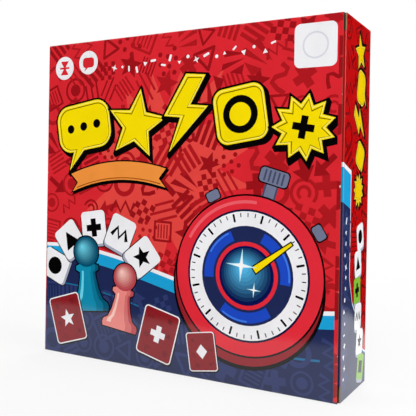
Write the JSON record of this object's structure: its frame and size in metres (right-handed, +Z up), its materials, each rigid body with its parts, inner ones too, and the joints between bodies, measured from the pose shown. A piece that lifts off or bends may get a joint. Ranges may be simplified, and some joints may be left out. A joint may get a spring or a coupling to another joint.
{
  "type": "word board game",
  "caption": "Printed tuck-end carton standing on edge, with a board fitment holding a round electronic letter wheel with rocking keys, a card deck and a leaflet.",
  "frame": {"origin": "middle of the carton's bottom face, where it stands", "axes": "+Z up, front panel faces -Y, the two ends that open are at +X and -X"},
  "size_m": [0.266, 0.065, 0.268],
  "materials": {
    "printed_board": "litho print under gloss film",
    "fitment_board": "uncoated grey board",
    "card_stock": "satin varnish",
    "paper_band": "uncoated",
    "leaflet_paper": "uncoated",
    "red_abs": "moulded gloss",
    "white_abs": "moulded satin",
    "navy_lens": "clear tinted",
    "dome_lens": "clear tinted",
    "black_abs": "moulded matt",
    "spring_steel": "drawn and plated",
    "plated_screw": "zinc plated",
    "circuit_laminate": "paper laminate with solder mask",
    "led_epoxy": "clear epoxy",
    "cell_jacket": "plain shrink sleeve",
    "foot_rubber": "moulded"
  },
  "bodies": {
    "carton": {"carton_sleeve": "printed_board", "insert_tray": "fitment_board", "card_deck": "card_stock", "card_band": "paper_band", "rules_leaflet": "leaflet_paper", "upper_housing": "red_abs", "lower_housing": "red_abs", "window_ring": "navy_lens", "button_spring": "spring_steel", "tact_switch": "black_abs", "key_frame": "black_abs", "reset_spring": "spring_steel", "circuit_board": "circuit_laminate", "leds": "led_epoxy", "speaker": "black_abs", "battery_contacts": "spring_steel", "battery_cells": "cell_jacket", "battery_door": "red_abs", "battery_door_screw": "plated_screw", "power_switch_body": "black_abs", "housing_screws": "plated_screw", "rubber_feet": "foot_rubber"},
    "right_end": {"right_end_panel": "printed_board"},
    "right_tuck": {"right_tuck_flap": "printed_board"},
    "right_top_dust": {"right_top_dust_flap": "printed_board"},
    "right_bottom_dust": {"right_bottom_dust_flap": "printed_board"},
    "left_end": {"left_end_panel": "printed_board"},
    "left_tuck": {"left_tuck_flap": "printed_board"},
    "left_top_dust": {"left_top_dust_flap": "printed_board"},
    "left_bottom_dust": {"left_bottom_dust_flap": "printed_board"},
    "letter_key_a": {"letter_key_a": "white_abs"},
    "letter_key_b": {"letter_key_b": "white_abs"},
    "letter_key_c": {"letter_key_c": "white_abs"},
    "letter_key_d": {"letter_key_d": "white_abs"},
    "letter_key_e": {"letter_key_e": "white_abs"},
    "letter_key_f": {"letter_key_f": "white_abs"},
    "letter_key_g": {"letter_key_g": "white_abs"},
    "letter_key_h": {"letter_key_h": "white_abs"},
    "letter_key_i": {"letter_key_i": "white_abs"},
    "letter_key_j": {"letter_key_j": "white_abs"},
    "letter_key_l": {"letter_key_l": "white_abs"},
    "letter_key_m": {"letter_key_m": "white_abs"},
    "letter_key_n": {"letter_key_n": "white_abs"},
    "letter_key_o": {"letter_key_o": "white_abs"},
    "letter_key_p": {"letter_key_p": "white_abs"},
    "letter_key_r": {"letter_key_r": "white_abs"},
    "letter_key_s": {"letter_key_s": "white_abs"},
    "letter_key_t": {"letter_key_t": "white_abs"},
    "letter_key_u": {"letter_key_u": "white_abs"},
    "letter_key_v": {"letter_key_v": "white_abs"},
    "timer": {"timer_button": "dome_lens"},
    "reset": {"reset_button": "red_abs"},
    "reset_lift": {"reset_ring": "black_abs"},
    "power_knob": {"power_switch_knob": "black_abs"}
  },
  "joints": [
    {"name": "right_end_hinge", "type": "hinge", "parent": "carton", "child": "right_end", "pos_m": [0.1325, 0.032, 0.134], "axis": [0, 0, 1], "range_deg": [0, 135]},
    {"name": "right_tuck_crease", "type": "hinge", "parent": "right_end", "child": "right_tuck", "pos_m": [0.1325, -0.0307, 0.134], "axis": [0, 0, 1], "range_deg": [0, 28]},
    {"name": "right_top_dust_crease", "type": "hinge", "parent": "carton", "child": "right_top_dust", "pos_m": [0.13125, 0, 0.2675], "axis": [0, -1, 0], "range_deg": [0, 82]},
    {"name": "right_bottom_dust_crease", "type": "hinge", "parent": "carton", "child": "right_bottom_dust", "pos_m": [0.13125, 0, 0.0005], "axis": [0, 1, 0], "range_deg": [0, 82]},
    {"name": "left_end_hinge", "type": "hinge", "parent": "carton", "child": "left_end", "pos_m": [-0.1325, 0.032, 0.134], "axis": [0, 0, -1], "range_deg": [0, 135]},
    {"name": "left_tuck_crease", "type": "hinge", "parent": "left_end", "child": "left_tuck", "pos_m": [-0.1325, -0.0307, 0.134], "axis": [0, 0, -1], "range_deg": [0, 28]},
    {"name": "left_top_dust_crease", "type": "hinge", "parent": "carton", "child": "left_top_dust", "pos_m": [-0.13125, 0, 0.2675], "axis": [0, 1, 0], "range_deg": [0, 82]},
    {"name": "left_bottom_dust_crease", "type": "hinge", "parent": "carton", "child": "left_bottom_dust", "pos_m": [-0.13125, 0, 0.0005], "axis": [0, -1, 0], "range_deg": [0, 82]},
    {"name": "press_key_a", "type": "hinge", "parent": "carton", "child": "letter_key_a", "pos_m": [-0.00409, -0.007, 0.08079], "axis": [0.9877, 0, 0.1564], "range_deg": [0, 8]},
    {"name": "press_key_b", "type": "hinge", "parent": "carton", "child": "letter_key_b", "pos_m": [0.01751, -0.007, 0.08781], "axis": [0.891, 0, 0.454], "range_deg": [0, 8]},
    {"name": "press_key_c", "type": "hinge", "parent": "carton", "child": "letter_key_c", "pos_m": [0.03589, -0.007, 0.10116], "axis": [0.7071, 0, 0.7071], "range_deg": [0, 8]},
    {"name": "press_key_d", "type": "hinge", "parent": "carton", "child": "letter_key_d", "pos_m": [0.04924, -0.007, 0.11954], "axis": [0.454, 0, 0.891], "range_deg": [0, 8]},
    {"name": "press_key_e", "type": "hinge", "parent": "carton", "child": "letter_key_e", "pos_m": [0.05626, -0.007, 0.14114], "axis": [0.1564, 0, 0.9877], "range_deg": [0, 8]},
    {"name": "press_key_f", "type": "hinge", "parent": "carton", "child": "letter_key_f", "pos_m": [0.05626, -0.007, 0.16386], "axis": [-0.1564, 0, 0.9877], "range_deg": [0, 8]},
    {"name": "press_key_g", "type": "hinge", "parent": "carton", "child": "letter_key_g", "pos_m": [0.04924, -0.007, 0.18546], "axis": [-0.454, 0, 0.891], "range_deg": [0, 8]},
    {"name": "press_key_h", "type": "hinge", "parent": "carton", "child": "letter_key_h", "pos_m": [0.03589, -0.007, 0.20384], "axis": [-0.7071, 0, 0.7071], "range_deg": [0, 8]},
    {"name": "press_key_i", "type": "hinge", "parent": "carton", "child": "letter_key_i", "pos_m": [0.01751, -0.007, 0.21719], "axis": [-0.891, 0, 0.454], "range_deg": [0, 8]},
    {"name": "press_key_j", "type": "hinge", "parent": "carton", "child": "letter_key_j", "pos_m": [-0.00409, -0.007, 0.22421], "axis": [-0.9877, 0, 0.1564], "range_deg": [0, 8]},
    {"name": "press_key_l", "type": "hinge", "parent": "carton", "child": "letter_key_l", "pos_m": [-0.02681, -0.007, 0.22421], "axis": [-0.9877, 0, -0.1564], "range_deg": [0, 8]},
    {"name": "press_key_m", "type": "hinge", "parent": "carton", "child": "letter_key_m", "pos_m": [-0.04841, -0.007, 0.21719], "axis": [-0.891, 0, -0.454], "range_deg": [0, 8]},
    {"name": "press_key_n", "type": "hinge", "parent": "carton", "child": "letter_key_n", "pos_m": [-0.06679, -0.007, 0.20384], "axis": [-0.7071, 0, -0.7071], "range_deg": [0, 8]},
    {"name": "press_key_o", "type": "hinge", "parent": "carton", "child": "letter_key_o", "pos_m": [-0.08014, -0.007, 0.18546], "axis": [-0.454, 0, -0.891], "range_deg": [0, 8]},
    {"name": "press_key_p", "type": "hinge", "parent": "carton", "child": "letter_key_p", "pos_m": [-0.08716, -0.007, 0.16386], "axis": [-0.1564, 0, -0.9877], "range_deg": [0, 8]},
    {"name": "press_key_r", "type": "hinge", "parent": "carton", "child": "letter_key_r", "pos_m": [-0.08716, -0.007, 0.14114], "axis": [0.1564, 0, -0.9877], "range_deg": [0, 8]},
    {"name": "press_key_s", "type": "hinge", "parent": "carton", "child": "letter_key_s", "pos_m": [-0.08014, -0.007, 0.11954], "axis": [0.454, 0, -0.891], "range_deg": [0, 8]},
    {"name": "press_key_t", "type": "hinge", "parent": "carton", "child": "letter_key_t", "pos_m": [-0.06679, -0.007, 0.10116], "axis": [0.7071, 0, -0.7071], "range_deg": [0, 8]},
    {"name": "press_key_u", "type": "hinge", "parent": "carton", "child": "letter_key_u", "pos_m": [-0.04841, -0.007, 0.08781], "axis": [0.891, 0, -0.454], "range_deg": [0, 8]},
    {"name": "press_key_v", "type": "hinge", "parent": "carton", "child": "letter_key_v", "pos_m": [-0.02681, -0.007, 0.08079], "axis": [0.9877, 0, -0.1564], "range_deg": [0, 8]},
    {"name": "press_timer_button", "type": "slide", "parent": "carton", "child": "timer", "axis": [0, 1, 0], "range_m": [0, 0.003], "stiffness_N_per_m": 400, "springref_m": -0.002, "deforming": ["button_spring"]},
    {"name": "press_reset_button", "type": "slide", "parent": "carton", "child": "reset", "axis": [1, 0, 0], "range_m": [-0.0032, 0], "stiffness_N_per_m": 500, "springref_m": 0.002, "deforming": ["reset_spring"]},
    {"name": "reset_ring_lift", "type": "slide", "parent": "carton", "child": "reset_lift", "axis": [0, 1, 0], "range_m": [-0.0024, 0]},
    {"name": "slide_power_switch", "type": "slide", "parent": "carton", "child": "power_knob", "axis": [1, 0, 0], "range_m": [0, 0.003]}
  ],
  "couplings": [
    {"joint": "right_tuck_crease", "follows": "right_end_hinge", "ratio": 0.2},
    {"joint": "right_top_dust_crease", "follows": "right_end_hinge", "ratio": 0.6},
    {"joint": "right_bottom_dust_crease", "follows": "right_end_hinge", "ratio": 0.6},
    {"joint": "left_tuck_crease", "follows": "left_end_hinge", "ratio": 0.2},
    {"joint": "left_top_dust_crease", "follows": "left_end_hinge", "ratio": 0.6},
    {"joint": "left_bottom_dust_crease", "follows": "left_end_hinge", "ratio": 0.6},
    {"joint": "reset_ring_lift", "follows": "press_reset_button", "ratio": 0.75}
  ]
}
